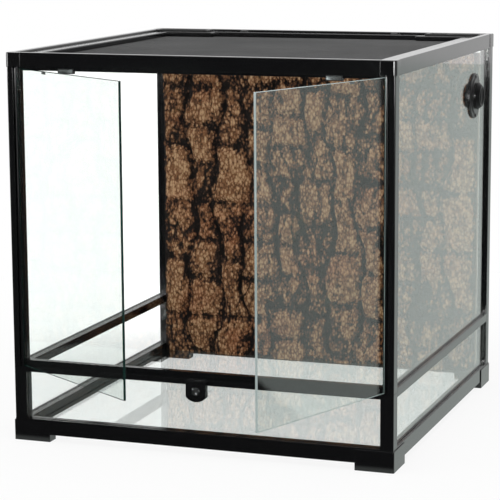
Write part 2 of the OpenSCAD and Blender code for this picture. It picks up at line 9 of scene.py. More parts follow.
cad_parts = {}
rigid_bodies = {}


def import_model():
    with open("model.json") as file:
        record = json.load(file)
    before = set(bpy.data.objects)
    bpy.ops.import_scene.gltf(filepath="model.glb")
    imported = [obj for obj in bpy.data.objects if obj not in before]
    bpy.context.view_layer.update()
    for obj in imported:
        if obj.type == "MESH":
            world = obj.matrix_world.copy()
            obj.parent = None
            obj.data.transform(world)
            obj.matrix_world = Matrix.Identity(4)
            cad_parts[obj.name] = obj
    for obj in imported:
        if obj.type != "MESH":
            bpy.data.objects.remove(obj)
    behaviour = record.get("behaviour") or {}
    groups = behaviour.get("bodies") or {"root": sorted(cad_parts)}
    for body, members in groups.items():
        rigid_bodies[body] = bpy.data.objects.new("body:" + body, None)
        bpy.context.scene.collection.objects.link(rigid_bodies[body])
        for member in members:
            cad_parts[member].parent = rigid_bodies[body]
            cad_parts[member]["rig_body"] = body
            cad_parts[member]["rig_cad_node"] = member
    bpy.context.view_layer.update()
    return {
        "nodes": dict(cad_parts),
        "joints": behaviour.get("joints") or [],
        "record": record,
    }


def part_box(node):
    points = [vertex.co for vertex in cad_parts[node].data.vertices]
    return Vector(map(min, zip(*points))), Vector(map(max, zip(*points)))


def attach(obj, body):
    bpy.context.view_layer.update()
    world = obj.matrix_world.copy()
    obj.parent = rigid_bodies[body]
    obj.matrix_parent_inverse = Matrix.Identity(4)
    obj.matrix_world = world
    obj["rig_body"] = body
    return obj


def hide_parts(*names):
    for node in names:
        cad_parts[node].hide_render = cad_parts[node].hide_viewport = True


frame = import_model()
bpy.context.scene.view_settings.view_transform = "Standard"
mm = 0.001
close = 0.05 * mm  # places nearer than this are the same
sides = ["front", "right", "rear", "left"]
corners = ["front_left", "front_right", "rear_right", "rear_left"]
ends = ["left", "right"]
print("frame loaded with", len(frame["nodes"]), "nodes")


# ---- camera, light and floor ----

view = {
    "place": (1.06497, -3.03474, 0.82081),
    "target": (-0.01977, -0.01350, 0.26518),
    "roll": -0.34,
    "lens": 144.9,
}

studio = {
    "diffuseLevel": 0.62,  # what matte surfaces get from the white room
    "roomFront": (-0.1, 0.25),  # the room is dark at the front, the left and the near right, seen in gloss
    "roomLeft": (-0.85, -0.6),
    "darkLevel": 0.03,
    "floorSize": 14.0,
    "floorFront": (-0.338, -0.318),  # the same on the floor, in metres
    "floorLeft": (-0.36, -0.33),
    "floorSlant": 0.25,  # the dark front of the floor reaches further back towards the right
    "slantFrom": 0.3,
    "floorWhite": 0.86,
    "floorPlain": (0.89, 1.0),  # share of plain white near the object, for its shadow, and far from it
    "floorFade": (0.45, 1.3),
    "floorGloss": 0.78,
    "floorTint": (0.92, 1.0, 0.96),
    "throughGlass": 1.62,  # the backdrop stays white behind two panes
    "floorThrough": 1.15,  # the same for the floor under the object
    "throughFade": (0.42, 0.8),
    "lamps": {
        "topLamp": {
            "place": (0.1, -0.5, 2.6), "aim": (0, 0, 0.3), "size": (2.4, 2.0), "power": 34, "matte": True,
        },
        "leftStrip": {
            "place": (-1.55, -1.75, 0.72), "aim": (0, 0, 0.72), "size": (0.22, 1.3), "power": 4, "matte": True,
        },
        "rightStrip": {
            "place": (1.9, -1.25, 0.72), "aim": (0, 0, 0.72), "size": (0.22, 1.3), "power": 4, "matte": True,
        },
        # the wide boxes are seen in gloss only, as lines on the rounded edges
        "frontBox": {
            "place": (1.05, -3.25, 0.78), "aim": (0, 0, 0.78), "size": (1.7, 1.0), "power": 120, "matte": False,
        },
        "leftBox": {
            "place": (-2.1, -1.25, 0.9), "aim": (0, 0, 0.9), "size": (1.0, 1.0), "power": 42, "matte": False,
        },
    },
}


def addCamera():
    camera = bpy.data.cameras.new("photoCamera")
    camera.lens = view["lens"]
    camera.sensor_width = 36
    camera.clip_end = 50
    holder = bpy.data.objects.new("photoCamera", camera)
    place = Vector(view["place"])
    turn = (Vector(view["target"]) - place).to_track_quat("-Z", "Y")
    roll = Matrix.Rotation(math.radians(view["roll"]), 4, "Z")
    holder.matrix_world = Matrix.Translation(place) @ turn.to_matrix().to_4x4() @ roll
    bpy.context.scene.collection.objects.link(holder)
    bpy.context.scene.camera = holder


def addLamps():
    for name, lamp in studio["lamps"].items():
        light = bpy.data.lights.new(name, "AREA")
        light.shape = "RECTANGLE"
        light.size, light.size_y = lamp["size"]
        light.energy = lamp["power"]
        holder = bpy.data.objects.new(name, light)
        place = Vector(lamp["place"])
        turn = (Vector(lamp["aim"]) - place).to_track_quat("-Z", "Y")
        holder.matrix_world = Matrix.Translation(place) @ turn.to_matrix().to_4x4()
        holder.visible_diffuse = lamp["matte"]
        bpy.context.scene.collection.objects.link(holder)


def link(tree, start, end):
    tree.links.new(start, end)


def mathNode(tree, operation, first, second=None):
    node = tree.nodes.new("ShaderNodeMath")
    node.operation = operation
    for slot, value in enumerate([first, second]):
        if isinstance(value, bpy.types.NodeSocket):
            tree.links.new(value, node.inputs[slot])
        elif value is not None:
            node.inputs[slot].default_value = value
    return node.outputs[0]


def mapRange(tree, value, low, high, start=0.0, end=1.0, smooth=True):
    node = tree.nodes.new("ShaderNodeMapRange")
    node.interpolation_type = "SMOOTHSTEP" if smooth else "LINEAR"
    tree.links.new(value, node.inputs["Value"])
    node.inputs["From Min"].default_value = low
    node.inputs["From Max"].default_value = high
    node.inputs["To Min"].default_value = start
    node.inputs["To Max"].default_value = end
    return node.outputs[0]


def mixColor(tree, factor, first, second, blend="MIX"):
    node = tree.nodes.new("ShaderNodeMix")
    node.data_type = "RGBA"
    node.blend_type = blend
    for socket, value in [(node.inputs[0], factor), (node.inputs[6], first), (node.inputs[7], second)]:
        if isinstance(value, bpy.types.NodeSocket):
            tree.links.new(value, socket)
        else:
            socket.default_value = value if isinstance(value, float) else (*value[:3], 1)
    return node.outputs[2]


def rayKinds(tree):
    # what the camera sees itself or straight through glass, and what it sees as a reflection
    paths = tree.nodes.new("ShaderNodeLightPath").outputs
    unreflected = mathNode(tree, "LESS_THAN", paths["Glossy Depth"], 0.5)
    straight = mathNode(tree, "MULTIPLY", paths["Is Transmission Ray"], unreflected)
    turned = mathNode(tree, "SUBTRACT", 1.0, straight)
    reflected = mathNode(tree, "MULTIPLY", paths["Is Glossy Ray"], turned)
    return paths, straight, reflected


def brightSide(tree, x, y, edgeX, edgeY):
    # gloss sees white at the rear, and dark at the front and the left
    dark = studio["darkLevel"]
    fromLeft = mapRange(tree, x, *edgeX, dark, 1)
    fromFront = mapRange(tree, y, *edgeY, dark, 1)
    return mathNode(tree, "MINIMUM", fromLeft, fromFront)


def makeRoom():
    room = bpy.data.worlds.new("whiteRoom")
    bpy.context.scene.world = room
    room.use_nodes = True
    tree = room.node_tree
    tree.nodes.clear()
    paths, straight, reflected = rayKinds(tree)
    parts = tree.nodes.new("ShaderNodeSeparateXYZ")
    link(tree, tree.nodes.new("ShaderNodeTexCoord").outputs["Generated"], parts.inputs[0])
    across, back = parts.outputs["X"], parts.outputs["Y"]
    bright = brightSide(tree, across, back, studio["roomLeft"], studio["roomFront"])
    glossy = mathNode(tree, "MULTIPLY", reflected, bright)
    through = mathNode(tree, "MULTIPLY", straight, studio["throughGlass"])
    seen = mathNode(tree, "MAXIMUM", glossy, mathNode(tree, "MAXIMUM", paths["Is Camera Ray"], through))
    matte = mathNode(tree, "MULTIPLY", paths["Is Diffuse Ray"], studio["diffuseLevel"])
    background = tree.nodes.new("ShaderNodeBackground")
    background.inputs["Color"].default_value = (1, 1, 1, 1)
    link(tree, mathNode(tree, "MAXIMUM", seen, matte), background.inputs["Strength"])
    link(tree, background.outputs[0], tree.nodes.new("ShaderNodeOutputWorld").inputs["Surface"])


def makeFloor():
    bpy.ops.mesh.primitive_plane_add(size=studio["floorSize"], location=(0, 0, -0.2 * mm))
    floor = bpy.context.object
    floor.name = "studioFloor"
    bpy.ops.object.transform_apply(location=True)
    paint = bpy.data.materials.new("studioFloor")
    paint.use_nodes = True
    tree = paint.node_tree
    tree.nodes.clear()
    paths, straight, reflected = rayKinds(tree)
    place = tree.nodes.new("ShaderNodeTexCoord").outputs["Object"]
    parts = tree.nodes.new("ShaderNodeSeparateXYZ")
    link(tree, place, parts.inputs[0])
    across, back = parts.outputs["X"], parts.outputs["Y"]
    beside = mathNode(tree, "MAXIMUM", mathNode(tree, "SUBTRACT", across, studio["slantFrom"]), 0.0)
    behind = mathNode(tree, "SUBTRACT", back, mathNode(tree, "MULTIPLY", beside, studio["floorSlant"]))
    bright = brightSide(tree, across, behind, studio["floorLeft"], studio["floorFront"])
    diffuse = tree.nodes.new("ShaderNodeBsdfDiffuse")
    diffuse.inputs["Color"].default_value = (*[studio["floorWhite"]] * 3, 1)
    white = tree.nodes.new("ShaderNodeEmission")
    away = tree.nodes.new("ShaderNodeVectorMath")
    away.operation = "LENGTH"
    link(tree, place, away.inputs[0])
    distance = away.outputs["Value"]
    behindGlass = mapRange(
        tree, distance, *studio["throughFade"], studio["floorThrough"], studio["throughGlass"])
    through = mathNode(tree, "MULTIPLY", straight, behindGlass)
    link(tree, mathNode(tree, "MAXIMUM", through, 1.0), white.inputs["Strength"])
    gloss = tree.nodes.new("ShaderNodeEmission")
    gloss.inputs["Color"].default_value = (*studio["floorTint"], 1)
    link(tree, mathNode(tree, "MULTIPLY", bright, studio["floorGloss"]), gloss.inputs["Strength"])
    shown = mathNode(tree, "MAXIMUM", paths["Is Camera Ray"], straight)
    plain = mapRange(tree, distance, *studio["floorFade"], *studio["floorPlain"])
    first = tree.nodes.new("ShaderNodeMixShader")
    link(tree, mathNode(tree, "MULTIPLY", shown, plain), first.inputs[0])
    link(tree, diffuse.outputs[0], first.inputs[1])
    link(tree, white.outputs[0], first.inputs[2])
    second = tree.nodes.new("ShaderNodeMixShader")
    link(tree, reflected, second.inputs[0])
    link(tree, first.outputs[0], second.inputs[1])
    link(tree, gloss.outputs[0], second.inputs[2])
    link(tree, second.outputs[0], tree.nodes.new("ShaderNodeOutputMaterial").inputs["Surface"])
    floor.data.materials.append(paint)


addCamera()
addLamps()
makeRoom()
makeFloor()
print("studio ready")


# ---- materials ----


def newGroup(name, inputs, outputs):
    group = bpy.data.node_groups.new(name, "ShaderNodeTree")
    for socketName, kind, value in inputs:
        socket = group.interface.new_socket(socketName, in_out="INPUT", socket_type=kind)
        socket.default_value = value
    for socketName, kind in outputs:
        group.interface.new_socket(socketName, in_out="OUTPUT", socket_type=kind)
    return group, group.nodes.new("NodeGroupInput").outputs, group.nodes.new("NodeGroupOutput").inputs


def noiseNode(tree, coordinates, scale, detail=3.0, roughness=0.55, stretch=None):
    if stretch:
        mapping = tree.nodes.new("ShaderNodeMapping")
        mapping.inputs["Scale"].default_value = stretch
        link(tree, coordinates, mapping.inputs[0])
        coordinates = mapping.outputs[0]
    node = tree.nodes.new("ShaderNodeTexNoise")
    link(tree, coordinates, node.inputs["Vector"])
    if isinstance(scale, bpy.types.NodeSocket):
        link(tree, scale, node.inputs["Scale"])
    else:
        node.inputs["Scale"].default_value = scale
    node.inputs["Detail"].default_value = detail
    node.inputs["Roughness"].default_value = roughness
    return node.outputs["Fac"]


def makeMouldedSkin():
    # moulded plastic: fine grain, patchy gloss, faint rubs, and dust that lies on what faces up
    group, given, result = newGroup(
        "mouldedSkin",
        [("Color", "NodeSocketColor", (0.02, 0.02, 0.02, 1)), ("Roughness", "NodeSocketFloat", 0.35),
         ("Grain", "NodeSocketFloat", 0.1), ("Grain scale", "NodeSocketFloat", 1400.0),
         ("Rubs", "NodeSocketFloat", 0.1), ("Dust", "NodeSocketFloat", 0.1)],
        [("Color", "NodeSocketColor"), ("Roughness", "NodeSocketFloat"), ("Normal", "NodeSocketVector")],
    )
    place = group.nodes.new("ShaderNodeTexCoord").outputs["Object"]
    patches = noiseNode(group, place, 9.0, 4.0)
    rubs = mapRange(group, noiseNode(group, place, 160.0, 2.0, 0.6, (1, 1, 0.12)), 0.62, 0.8)
    facing = group.nodes.new("ShaderNodeSeparateXYZ")
    link(group, group.nodes.new("ShaderNodeNewGeometry").outputs["Normal"], facing.inputs[0])
    specks = mapRange(group, noiseNode(group, place, 420.0, 5.0, 0.7), 0.5, 0.78)
    up = mapRange(group, facing.outputs["Z"], 0.6, 1.0)
    dust = mathNode(group, "MULTIPLY", mathNode(group, "MULTIPLY", specks, up), given["Dust"])
    worn = mathNode(group, "MULTIPLY", patches, 0.5)
    tint = mixColor(group, worn, given["Color"], (0.006, 0.006, 0.0065))
    link(group, mixColor(group, dust, tint, (0.33, 0.31, 0.28)), result["Color"])
    uneven = mathNode(group, "MULTIPLY", mathNode(group, "SUBTRACT", patches, 0.5), given["Roughness"])
    rubbed = mathNode(group, "MULTIPLY", rubs, given["Rubs"])
    gloss = mathNode(group, "ADD", mathNode(group, "ADD", given["Roughness"], uneven), rubbed)
    link(group, mathNode(group, "ADD", gloss, dust), result["Roughness"])
    bump = group.nodes.new("ShaderNodeBump")
    bump.inputs["Distance"].default_value = 0.4 * mm
    link(group, given["Grain"], bump.inputs["Strength"])
    link(group, noiseNode(group, place, given["Grain scale"], 2.0), bump.inputs["Height"])
    link(group, bump.outputs[0], result["Normal"])
    return group


def makeBrushing():
    # drawn metal: lines along one axis
    group, given, result = newGroup(
        "brushing",
        [("Color", "NodeSocketColor", (0.6, 0.6, 0.6, 1)), ("Roughness", "NodeSocketFloat", 0.3),
         ("Lines", "NodeSocketFloat", 0.2)],
        [("Color", "NodeSocketColor"), ("Roughness", "NodeSocketFloat"), ("Normal", "NodeSocketVector")],
    )
    place = group.nodes.new("ShaderNodeTexCoord").outputs["Object"]
    lines = noiseNode(group, place, 900.0, 4.0, 0.6, (0.04, 1, 1))
    cloud = noiseNode(group, place, 60.0, 3.0)
    dull = mixColor(group, mathNode(group, "MULTIPLY", cloud, 0.45), given["Color"], (0.3, 0.3, 0.3))
    link(group, dull, result["Color"])
    shift = mathNode(group, "MULTIPLY", mathNode(group, "SUBTRACT", lines, 0.5), 0.35)
    link(group, mathNode(group, "ADD", given["Roughness"], shift), result["Roughness"])
    bump = group.nodes.new("ShaderNodeBump")
    bump.inputs["Distance"].default_value = 0.2 * mm
    link(group, given["Lines"], bump.inputs["Strength"])
    link(group, lines, bump.inputs["Height"])
    link(group, bump.outputs[0], result["Normal"])
    return group


mouldedSkin = makeMouldedSkin()
brushing = makeBrushing()


def newMaterial(name):
    material = bpy.data.materials.new(name)
    material.use_nodes = True
    tree = material.node_tree
    shader = tree.nodes["Principled BSDF"]
    return material, tree, shader


def placeGroup(tree, shader, group, values):
    node = tree.nodes.new("ShaderNodeGroup")
    node.node_tree = group
    for name, value in values.items():
        node.inputs[name].default_value = value
    link(tree, node.outputs["Color"], shader.inputs["Base Color"])
    link(tree, node.outputs["Roughness"], shader.inputs["Roughness"])
    link(tree, node.outputs["Normal"], shader.inputs["Normal"])
    return node


plastics = {
    "framePlastic": {
        "color": (0.005, 0.005, 0.0055, 1), "roughness": 0.1, "grain": 0.03,
        "grainScale": 1500.0, "rubs": 0.06, "dust": 0.03,
    },
    "portPlastic": {
        "color": (0.014, 0.014, 0.0145, 1), "roughness": 0.36, "grain": 0.05,
        "grainScale": 1900.0, "rubs": 0.05, "dust": 0.03, "specular": 0.32,
    },
    "lidPlastic": {
        "color": (0.006, 0.006, 0.0065, 1), "roughness": 0.11, "grain": 0.04,
        "grainScale": 1300.0, "rubs": 0.08, "dust": 0.05,
    },
    "capPlastic": {
        "color": (0.007, 0.007, 0.0075, 1), "roughness": 0.42, "grain": 0.12,
        "grainScale": 1700.0, "rubs": 0.04, "dust": 0.02, "specular": 0.12,
    },
    "wireCoating": {
        "color": (0.052, 0.052, 0.053, 1), "roughness": 0.42, "grain": 0.2,
        "grainScale": 2600.0, "rubs": 0.05, "dust": 0.05,
    },
}


def plasticMaterial(name):
    look = plastics[name]
    material, tree, shader = newMaterial(name)
    placeGroup(tree, shader, mouldedSkin, {
        "Color": look["color"], "Roughness": look["roughness"], "Grain": look["grain"],
        "Grain scale": look["grainScale"], "Rubs": look["rubs"], "Dust": look["dust"]})
    shader.inputs["Specular IOR Level"].default_value = look.get("specular", 0.5)
    return material


metals = {
    "strikeSteel": {"color": (0.12, 0.12, 0.12, 1), "roughness": 0.3, "lines": 0.25},
    "holderSteel": {"color": (0.14, 0.155, 0.155, 1), "roughness": 0.3, "lines": 0.15},
    "lockMetal": {"color": (0.62, 0.62, 0.63, 1), "roughness": 0.16, "lines": 0.1},
}


def metalMaterial(name):
    look = metals[name]
    material, tree, shader = newMaterial(name)
    shader.inputs["Metallic"].default_value = 1
    placeGroup(tree, shader, brushing, {
        "Color": look["color"], "Roughness": look["roughness"], "Lines": look["lines"]})
    return material


glasses = {
    "paneGlass": {"tint": (0.972, 0.992, 0.982, 1)},
    "doorGlass": {"tint": (0.95, 0.99, 0.97, 1)},
}


def glassMaterial(name):
    # float glass; lamps and soft light pass straight through it, so that the inside is lit
    material, tree, shader = newMaterial(name)
    shader.inputs["Base Color"].default_value = glasses[name]["tint"]
    shader.inputs["Transmission Weight"].default_value = 1
    shader.inputs["IOR"].default_value = 1.5
    place = tree.nodes.new("ShaderNodeTexCoord").outputs["Object"]
    film = mapRange(tree, noiseNode(tree, place, 26.0, 5.0, 0.65), 0.66, 0.86, 0.0, 0.008)
    link(tree, film, shader.inputs["Roughness"])
    clear = tree.nodes.new("ShaderNodeBsdfTransparent")
    clear.inputs["Color"].default_value = glasses[name]["tint"]
    paths = tree.nodes.new("ShaderNodeLightPath")
    mix = tree.nodes.new("ShaderNodeMixShader")
    passed = mathNode(tree, "MAXIMUM", paths.outputs["Is Shadow Ray"], paths.outputs["Is Diffuse Ray"])
    link(tree, passed, mix.inputs[0])
    link(tree, shader.outputs[0], mix.inputs[1])
    link(tree, clear.outputs[0], mix.inputs[2])
    link(tree, mix.outputs[0], tree.nodes["Material Output"].inputs["Surface"])
    return material


edges = {  # painted reflections in the edges' colour: the left door's edges are painted dark for the dark front, the right door's painted light for the white room
    "leftEdge": {"deep": (0.002, 0.012, 0.01), "clear": (0.008, 0.04, 0.032)},
    "rightEdge": {"deep": (0.2, 0.27, 0.26), "clear": (0.62, 0.7, 0.69)},
}


def paintedReflectionEdgeMaterial(name):
    # ground and polished edge of the glass, green, with a painted reflection in its colour: dark for the left
    # door, light for the right
    material, tree, shader = newMaterial(name)
    place = tree.nodes.new("ShaderNodeTexCoord").outputs["Object"]
    streaks = noiseNode(tree, place, 55.0, 4.0, 0.6, (1, 1, 0.08))
    # the two streaked tones are a painted reflection of the room on the door's edge
    tone = mixColor(tree, streaks, edges[name]["deep"], edges[name]["clear"])
    link(tree, tone, shader.inputs["Base Color"])
    link(tree, mapRange(tree, streaks, 0.3, 0.7, 0.1, 0.24), shader.inputs["Roughness"])
    shader.inputs["Coat Weight"].default_value = 0.4
    return material


bark = {
    # the tones run from deep in the gaps through shade and body to the ridges: the darkening towards the gaps
    # is painted shade, and the light ridge tone is partly a painted highlight, on top of the bark's own tones
    "deep": (0.007, 0.004, 0.003),
    "shade": (0.055, 0.028, 0.017),
    "body": (0.25, 0.108, 0.047),
    "ridgeAndHighlight": (0.62, 0.39, 0.22),
    "rust": (0.34, 0.1, 0.035),
    "moss": (0.05, 0.07, 0.02),
    "cut": (0.32, 0.24, 0.17),
    "cutShade": (0.2, 0.14, 0.09),
    "cutSpeck": (0.1, 0.06, 0.035),
    "seed": 3,  # without it the noise vectors change with the clock
    "step": 1.8 * mm,  # between the points of the relief
    "snug": 0.4 * mm,  # the panel is pressed against the posts, so that no light passes beside it
    "fineDepth": 3.2 * mm,  # of the relief that lies on the panel's own plates
    "plateDepth": 14 * mm,  # from the highest plates to the deepest gaps, where the colour gets its darkest painted shade
    "inEdge": 0.2 * mm,  # the panel is measured this far inside its rim
}


def barkMaterial():
    material, tree, shader = newMaterial("barkFace")
    place = tree.nodes.new("ShaderNodeTexCoord").outputs["Object"]
    relief = tree.nodes.new("ShaderNodeAttribute")
    relief.attribute_name = "relief"
    stretch = tree.nodes.new("ShaderNodeMapping")
    stretch.inputs["Scale"].default_value = (1, 1, 0.6)
    link(tree, place, stretch.inputs[0])
    grains = tree.nodes.new("ShaderNodeTexVoronoi")
    grains.inputs["Scale"].default_value = 230.0
    link(tree, stretch.outputs[0], grains.inputs["Vector"])
    body = mapRange(tree, grains.outputs["Distance"], 0.62, 0.22)
    shade = tree.nodes.new("ShaderNodeSeparateColor")
    link(tree, grains.outputs["Color"], shade.inputs[0])
    grit = noiseNode(tree, place, 520.0, 5.0, 0.7)
    flakes = noiseNode(tree, place, 90.0, 5.0, 0.65, (1, 1, 0.35))
    # the relief's depth sets the tone: painted shade darkens the gaps and cracks, and a painted highlight
    # lightens the raised plates, on top of the bark's own grain
    level = mapRange(tree, relief.outputs["Fac"], 0.24, 0.74, -0.22, 0.64)
    for part, share in [(body, 0.3), (shade.outputs[0], 0.3), (grit, 0.6), (flakes, 0.85)]:
        offset = mathNode(tree, "MULTIPLY", mathNode(tree, "SUBTRACT", part, 0.5), share)
        level = mathNode(tree, "ADD", level, offset)
    ramp = tree.nodes.new("ShaderNodeValToRGB")
    link(tree, level, ramp.inputs[0])
    stops = ramp.color_ramp.elements
    stops[0].position, stops[0].color = 0.08, (*bark["deep"], 1)
    stops[1].position, stops[1].color = 0.82, (*bark["ridgeAndHighlight"], 1)
    for position, tone in [(0.26, "shade"), (0.5, "body")]:
        stop = stops.new(position)
        stop.color = (*bark[tone], 1)
    regions = mapRange(tree, noiseNode(tree, place, 9.0, 3.0), 0.48, 0.7, 0.0, 0.45)
    rusty = mixColor(tree, 0.75, ramp.outputs[0], bark["rust"], "OVERLAY")
    warm = mixColor(tree, regions, ramp.outputs[0], rusty)
    damp = mapRange(tree, noiseNode(tree, place, 16.0, 5.0, 0.7), 0.58, 0.74, 0.0, 0.4)
    mossy = mixColor(tree, 0.6, warm, bark["moss"])
    link(tree, mixColor(tree, damp, warm, mossy), shader.inputs["Base Color"])
    link(tree, mapRange(tree, grit, 0.2, 0.8, 0.7, 0.95), shader.inputs["Roughness"])
    shader.inputs["Specular IOR Level"].default_value = 0.1
    bump = tree.nodes.new("ShaderNodeBump")
    bump.inputs["Strength"].default_value = 0.9
    bump.inputs["Distance"].default_value = 2 * mm
    link(tree, mathNode(tree, "ADD", mathNode(tree, "ADD", grit, flakes), body), bump.inputs["Height"])
    link(tree, bump.outputs[0], shader.inputs["Normal"])
    return material


def cutCorkMaterial():
    # sawn sides and back of the bark panel
    material, tree, shader = newMaterial("barkCut")
    place = tree.nodes.new("ShaderNodeTexCoord").outputs["Object"]
    cells = tree.nodes.new("ShaderNodeTexVoronoi")
    link(tree, place, cells.inputs["Vector"])
    cells.inputs["Scale"].default_value = 260.0
    speck = mapRange(tree, noiseNode(tree, place, 130.0, 5.0, 0.7), 0.45, 0.7)
    cork = mapRange(tree, cells.outputs["Distance"], 0.1, 0.7)
    tone = mixColor(tree, cork, bark["cut"], bark["cutShade"])
    link(tree, mixColor(tree, speck, tone, bark["cutSpeck"]), shader.inputs["Base Color"])
    shader.inputs["Roughness"].default_value = 0.9
    bump = tree.nodes.new("ShaderNodeBump")
    bump.inputs["Strength"].default_value = 0.4
    bump.inputs["Distance"].default_value = 0.8 * mm
    link(tree, cells.outputs["Distance"], bump.inputs["Height"])
    link(tree, bump.outputs[0], shader.inputs["Normal"])
    return material


finish = {name: plasticMaterial(name) for name in plastics}
finish.update({name: metalMaterial(name) for name in metals})
finish.update({name: glassMaterial(name) for name in glasses})
finish.update({name: paintedReflectionEdgeMaterial(name) for name in edges})
finish["bark"] = barkMaterial()
finish["barkCut"] = cutCorkMaterial()
print("materials ready:", len(finish))


# ---- modelling helpers ----


def only(piece):
    bpy.ops.object.select_all(action="DESELECT")
    piece.select_set(True)
    bpy.context.view_layer.objects.active = piece


def editing(piece, mode="FACE"):
    only(piece)
    bpy.ops.object.mode_set(mode="EDIT")
    bpy.ops.mesh.select_mode(type=mode)


def done():
    bpy.ops.object.mode_set(mode="OBJECT")


def pickFaces(piece, test):
    bpy.ops.mesh.select_all(action="DESELECT")
    shape = bmesh.from_edit_mesh(piece.data)
    for face in shape.faces:
        if test(face.calc_center_median(), face.normal):
            face.select_set(True)
    bmesh.update_edit_mesh(piece.data)


def addModifier(piece, kind, **values):
    only(piece)
    modifier = piece.modifiers.new(kind.lower(), kind)
    for name, value in values.items():
        setattr(modifier, name, value)
    bpy.ops.object.modifier_apply(modifier=modifier.name)


def smooth(piece, degrees=35):
    only(piece)
    bpy.ops.object.shade_smooth_by_angle(angle=math.radians(degrees))


def addBlock(name, low, high):
    middle = [(a + b) / 2 for a, b in zip(low, high)]
    bpy.ops.object.select_all(action="DESELECT")
    bpy.ops.mesh.primitive_cube_add(size=1, location=middle, scale=[b - a for a, b in zip(low, high)])
    piece = bpy.context.object
    piece.name = name
    bpy.ops.object.transform_apply(location=True, rotation=True, scale=True)
    return piece


def bodyOf(node):
    for body, members in frame["record"]["behaviour"]["bodies"].items():
        if node in members:
            return body
    return None


weld = {"distance": 0.01 * mm, "flat": math.radians(0.5)}


def weldedCopy(node, name, *materials):
    # a CAD node's triangles are loose, so its copy is merged before it is shaped
    only(frame["nodes"][node])
    bpy.ops.object.duplicate()
    piece = bpy.context.object
    piece.name = name
    piece.parent = None
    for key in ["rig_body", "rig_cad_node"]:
        if key in piece:
            del piece[key]
    piece.data.materials.clear()
    for material in materials:
        piece.data.materials.append(finish[material])
    editing(piece)
    bpy.ops.mesh.select_all(action="SELECT")
    bpy.ops.mesh.remove_doubles(threshold=weld["distance"])
    bpy.ops.mesh.dissolve_limited(angle_limit=weld["flat"])
    done()
    return piece


def standFor(piece, node):
    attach(piece, bodyOf(node))
    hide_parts(node)


# ---- plastic parts of the frame, with their edges eased ----

eased = {
    "framePlastic": {
        "nodes": ["bottom_rail_" + s for s in sides] + ["foot_" + c for c in corners]
        + ["lower_post_" + c for c in corners] + ["upper_post_" + c for c in corners]
        + ["door_sill", "mid_rail_right", "mid_rail_rear", "mid_rail_left"]
        + ["top_rail_" + s for s in sides] + ["top_corner_" + c for c in corners]
        + ["lock_housing", "left_door_rod", "right_door_rod"],
        "edge": 0.55 * mm,
    },
    "lidPlastic": {"nodes": ["lid_frame"], "edge": 0.45 * mm},
    "portPlastic": {
        "nodes": ["cable_port_left", "cable_port_right", "cable_shutter_left", "cable_shutter_right",
                  "lid_clips", "port_flange", "port_nut"],
        "edge": 0.3 * mm,
    },
    "capPlastic": {"nodes": ["port_cap"], "edge": 0.35 * mm},
    "lockMetal": {"nodes": ["lock_plug", "lock_bolt"], "edge": 0.3 * mm},
    "strikeSteel": {"nodes": ["left_door_strike", "right_door_strike"], "edge": 0.15 * mm},
}


crown = {
    "nodes": ["top_rail_" + s for s in sides] + ["top_corner_" + c for c in corners] + ["lid_frame"],
    "radius": 1.8 * mm,
    "seam": 281 * mm,  # rails and corner pieces meet here and stay flush
}


def onSeam(start, end):
    return any(
        abs(abs(start[k]) - crown["seam"]) < close and abs(start[k] - end[k]) < close for k in (0, 1))


def roundCrown(piece):
    # the long edges of the top are rounder than the rest
    editing(piece, "EDGE")
    bpy.ops.mesh.select_all(action="DESELECT")
    shape = bmesh.from_edit_mesh(piece.data)
    top = max(v.co.z for v in shape.verts) - close
    for edge in shape.edges:
        start, end = [v.co for v in edge.verts]
        flush = piece.name.startswith("top") and onSeam(start, end)
        if start.z > top and end.z > top and not flush:
            edge.select_set(True)
    bmesh.update_edit_mesh(piece.data)
    bpy.ops.mesh.bevel(offset=crown["radius"], segments=4, affect="EDGES", clamp_overlap=True)
    done()


def easeNode(node, material, edge):
    piece = weldedCopy(node, node + "_eased", material)
    if node in crown["nodes"]:
        roundCrown(piece)
    addModifier(piece, "BEVEL", width=edge, segments=2, limit_method="ANGLE",
                angle_limit=math.radians(35), miter_outer="MITER_ARC", use_clamp_overlap=True)
    smooth(piece)
    addModifier(piece, "WEIGHTED_NORMAL", keep_sharp=True, weight=90)
    standFor(piece, node)


for material, group in eased.items():
    for node in group["nodes"]:
        easeNode(node, material, group["edge"])
print("eased parts ready")


# ---- fixed panes ----

for node in ["floor_pane"] + ["lower_pane_" + s for s in sides] + ["upper_pane_" + s for s in sides[1:]]:
    slots = frame["nodes"][node].material_slots
    for slot in slots:
        slot.material = finish["paneGlass"]
print("panes ready")


# ---- doors ----

doors = {
    "glassEase": 0.7 * mm,
}


def makeDoorGlass(end):
    joint = next(j for j in frame["joints"] if j["name"] == end + "_door_hinge")
    pivot = Vector((joint["pos_m"][0], joint["pos_m"][1], 0))
    side = 1 if end == "right" else -1
    openAngle = math.radians(-joint["range_deg"][0]) * side
    # the glass lies square to the axes once it is turned back to the closed door
    shut = Matrix.Translation(pivot) @ Matrix.Rotation(-openAngle, 4, "Z") @ Matrix.Translation(-pivot)
    points = [shut @ v.co for v in frame["nodes"][end + "_door_glass"].data.vertices]
    closedLow = [min(p[i] for p in points) for i in range(3)]
    closedHigh = [max(p[i] for p in points) for i in range(3)]
    piece = addBlock(end + "_door_pane", closedLow, closedHigh)
    piece.data.materials.append(finish["doorGlass"])
    # the edge faces take the door's edge tone, a painted reflection: dark on the left, light on the right
    piece.data.materials.append(finish[end + "Edge"])
    editing(piece)
    pickFaces(piece, lambda centre, normal: abs(normal.y) < 0.5)
    piece.active_material_index = 1
    bpy.ops.object.material_slot_assign()
    done()
    addModifier(piece, "BEVEL", width=doors["glassEase"], segments=2, limit_method="ANGLE", material=1)
    smooth(piece, 40)
    addModifier(piece, "WEIGHTED_NORMAL", keep_sharp=True, weight=100)
    piece.data.transform(shut.inverted())
    standFor(piece, end + "_door_glass")


for end in ends:
    makeDoorGlass(end)
print("doors ready")


# ---- door magnets ----

magnets = {"ease": 0.2 * mm, "frame": 1.3 * mm, "sink": 0.4 * mm}


